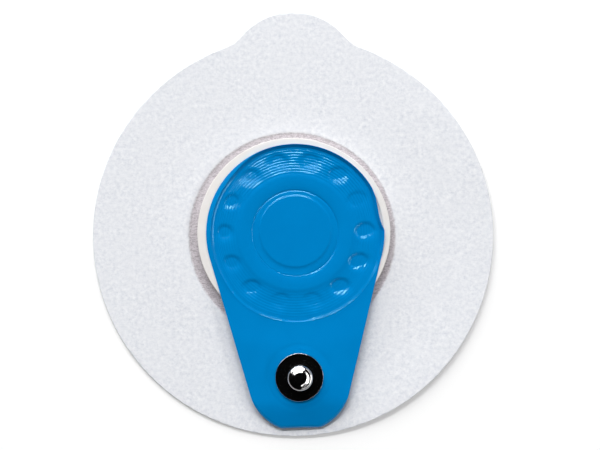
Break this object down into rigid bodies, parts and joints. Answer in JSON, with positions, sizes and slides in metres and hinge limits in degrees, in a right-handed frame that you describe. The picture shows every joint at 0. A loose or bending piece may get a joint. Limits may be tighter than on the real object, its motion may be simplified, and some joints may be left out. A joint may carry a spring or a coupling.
{
  "type": "offset snap ecg electrode",
  "caption": "Round white adhesive pad with a grip tab, a gel centre under a formed blue cover, and a snap stud at the end of the cover's neck.",
  "frame": {"origin": "centre of the pad's circle on the face that lies on the skin", "axes": "+Z away from the skin, +Y toward the grip tab, so the snap stud is on the -Y side"},
  "size_m": [0.068, 0.072, 0.0065],
  "materials": {
    "nonwoven": "matt pressed fibre",
    "foam": "smooth closed-cell foam",
    "gel": "wet, clear",
    "blue_film": "satin, pressed relief",
    "silver_coat": "silver and silver chloride coating",
    "nickel": "polished nickel plate"
  },
  "bodies": {
    "root": {"backing_pad": "nonwoven", "foam_ring": "foam", "gel_pad": "gel", "cover": "blue_film", "sensor_strip": "silver_coat", "snap_stud": "nickel", "snap_eyelet": "nickel"}
  },
  "joints": []
}
